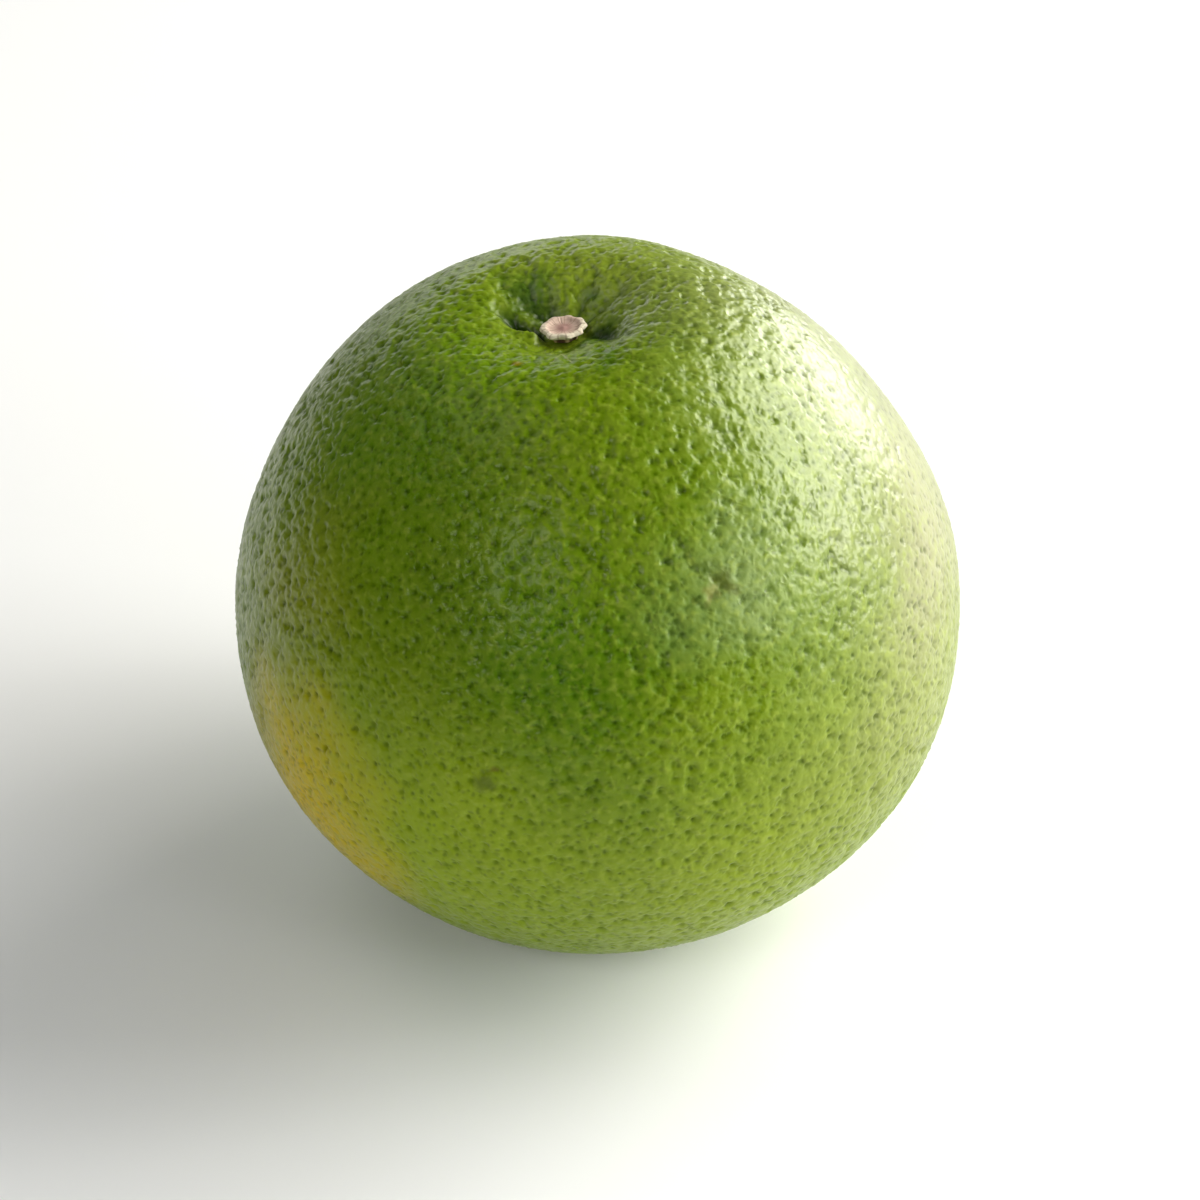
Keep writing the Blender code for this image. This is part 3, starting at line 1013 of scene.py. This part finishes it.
# %% The button's material
WOOD_ROUGHNESS = 0.75
button_material, tree, wood = start_material("dry_stalk_wood")
outward, upward, streak, rib = (
    add_node(tree, "ShaderNodeAttribute", {"attribute_name": name}).outputs["Fac"]
    for name in marks
)
cream = lay(tree, "#a98378", "#cfb4a0", outward, 0.2, 0.5)
cream = lay(tree, cream, "#e4d8bc", outward, 0.6, 0.9)  # the rim
cream = lay(tree, cream, "#8a6a4c", streak, 0.5, 1.0, 0.45)
cream = lay(tree, cream, "#5a3f28", upward, 0.75, 0.3)  # the neck: the stalk's brown, and painted shade under the rim
cream = add_node(
    tree,
    "ShaderNodeMix",
    {"data_type": "RGBA", COLOUR_B: linear("#b89c78")},
    {COLOUR_FACTOR: rib, COLOUR_A: cream},
).outputs[COLOUR_RESULT]
tree.links.new(cream, wood.inputs["Base Color"])
wood.inputs["Roughness"].default_value = WOOD_ROUGHNESS
button.data.materials.append(button_material)
print("nodes in", button_material.name, len(tree.nodes))

# %% [markdown]
# ## The floor
#
# The photograph was taken on white. A white board stands for the table, and far from the fruit it
# fades into the colour of the backdrop, so that no horizon shows from the side. From a quarter of
# a metre out, the board's own colour turns grey. This is painted shade, as if the board fell out
# of the lamps' light. The camera sees that grey fade into the backdrop, but the fruit sees it in
# its reflections. A curved sweep, as in a studio, would do it too, but it would get in the way of
# the lamps.

# %% Floor
FLOOR_HALF = 1.2
WHITE = "#f6f6f4"
# painted shade: the board turns grey away from the lamps
FAR_SHADE_GREY = "#8e8f92"
BACKDROP = "#e9eaeb"
FADE_START, GREY_START, FADE_END = 0.22, 0.25, 0.6  # metres from the fruit
floor_bm = bmesh.new()
bmesh.ops.create_grid(floor_bm, x_segments=1, y_segments=1, size=FLOOR_HALF)
floor = new_piece(floor_bm, "floor")
floor_material, tree, paint = start_material("matt_white_board")
object_frame = add_node(tree, "ShaderNodeTexCoord").outputs["Object"]
far = add_node(
    tree, "ShaderNodeVectorMath", {"operation": "LENGTH"}, {0: object_frame}
).outputs["Value"]
board = lay(tree, WHITE, FAR_SHADE_GREY, far, GREY_START, FADE_END)
tree.links.new(board, paint.inputs["Base Color"])
paint.inputs["Roughness"].default_value = 0.9
paint.inputs["Specular IOR Level"].default_value = 0.1
faded = add_node(
    tree, "ShaderNodeMapRange", fade(FADE_START, FADE_END), {"Value": far}
).outputs["Result"]
seen = add_node(tree, "ShaderNodeLightPath").outputs["Is Camera Ray"]
faded = add_node(
    tree, "ShaderNodeMath", {"operation": "MULTIPLY"}, {0: faded, 1: seen}
).outputs["Value"]
sweep = add_node(tree, "ShaderNodeEmission", {"Color": linear(BACKDROP)})
surface = add_node(
    tree,
    "ShaderNodeMixShader",
    links={0: faded, 1: paint.outputs["BSDF"], 2: sweep.outputs["Emission"]},
).outputs["Shader"]
tree.links.new(surface, tree.nodes["Material Output"].inputs["Surface"])
floor.data.materials.append(floor_material)
print("floor in metres across:", 2 * FLOOR_HALF)

# %% [markdown]
# ## The lamps
#
# A large window lies to the right and behind, with a brighter part in it, and gives the broad
# highlight. Two boxes beside it carry its light round to the right edge. Two smaller lamps on
# the camera's side give the two sheens in the middle, low boxes behind light the rims, and a
# faint one above the left shoulder lifts it. Each is an area lamp, because a point of light
# would give hard spots on the pits, and is placed by the direction in which the middle of the
# fruit sees it.

# %% Lamps
LAMPS = (
    # name, azimuth and elevation in degrees, then distance, width and height in metres,
    # power in watts and colour; azimuth 0 is the camera's side, and 90 is to its right
    ("window", 118, 31, 0.75, 0.66, 0.6, 5.8, "#fffdf8"),
    ("window_core", 110, 40, 0.75, 0.3, 0.3, 1.2, "#fffdf8"),
    ("window_side", 90, 20, 0.9, 0.3, 0.5, 4.4, "#ffffff"),
    ("window_edge", 68, 15, 1.0, 0.7, 0.6, 4.3, "#ffffff"),
    ("lamp_left", -31, 37, 1.2, 0.36, 0.36, 3.2, "#ffffff"),
    ("lamp_right", 44, 32, 1.2, 0.3, 0.3, 0.8, "#e0eeff"),
    ("back_right", 140, 6, 1.2, 0.8, 0.3, 6.0, "#ffffff"),
    ("back_left", -160, 8, 1.2, 0.8, 0.3, 1.6, "#ffffff"),
    ("side_left", -112, 56, 0.55, 0.3, 0.3, 0.34, "#ffffff"),
)
for name, azimuth_deg, elevation_deg, away, width, height, power, colour in LAMPS:
    way = Vector(direction(azimuth_deg - 90, 90 - elevation_deg))
    lamp = bpy.data.lights.new(name, "AREA")
    lamp.shape = "RECTANGLE"
    lamp.size = width
    lamp.size_y = height
    lamp.energy = power
    lamp.color = linear(colour)[:3]
    holder = bpy.data.objects.new(name, lamp)
    holder.location = middle + away * way
    holder.rotation_euler = way.to_track_quat("Z", "Y").to_euler()
    bpy.context.scene.collection.objects.link(holder)
print("lamps:", len(LAMPS))

# %% [markdown]
# ## The room
#
# A room gives back a little light from everywhere, which keeps the shadows open. The camera
# itself sees a pale backdrop in its place, because a room this dim would look grey. The
# Light Path node tells the two apart.

# %% Room and backdrop
ROOM = "#e6e8e2"
ROOM_STRENGTH = 0.08
world = bpy.data.worlds.new("studio")
bpy.context.scene.world = world
world.use_nodes = True
tree = world.node_tree
tree.nodes.clear()
room = add_node(
    tree, "ShaderNodeBackground", {"Color": linear(ROOM), "Strength": ROOM_STRENGTH}
).outputs["Background"]
backdrop = add_node(
    tree, "ShaderNodeBackground", {"Color": linear(BACKDROP), "Strength": 1.0}
).outputs["Background"]
seen = add_node(tree, "ShaderNodeLightPath").outputs["Is Camera Ray"]
sky = add_node(tree, "ShaderNodeMixShader", links={0: seen, 1: room, 2: backdrop})
add_node(tree, "ShaderNodeOutputWorld", links={"Surface": sky.outputs["Shader"]})
print("strength of the room:", ROOM_STRENGTH)

# %% [markdown]
# ## The camera
#
# It looks down at 37 degrees from 550 mm away, through a long lens, as in the photograph. A
# long lens from far off keeps the outline nearly round. The angle is the one at which the
# button shows as flat an oval as it does there.

# %% Camera
VIEW_ELEVATION = math.radians(37)
VIEW_DISTANCE = 550 * MM
VIEW_LENS = 138.1  # mm
AIM_RIGHT = 0.21 * MM  # the middle of the picture, from the middle of the fruit
AIM_UP = -0.98 * MM
back = Vector((0, -math.cos(VIEW_ELEVATION), math.sin(VIEW_ELEVATION)))
upright = Vector((0, math.sin(VIEW_ELEVATION), math.cos(VIEW_ELEVATION)))
camera = bpy.data.objects.new("camera", bpy.data.cameras.new("camera"))
camera.data.lens = VIEW_LENS
camera.data.sensor_width = 36
camera.location = middle + VIEW_DISTANCE * back + AIM_UP * upright + Vector((AIM_RIGHT, 0, 0))
camera.rotation_euler = back.to_track_quat("Z", "Y").to_euler()
bpy.context.scene.collection.objects.link(camera)
bpy.context.scene.camera = camera
bpy.context.scene.view_settings.view_transform = "Standard"
print("camera in mm:", [round(v / MM) for v in camera.location])
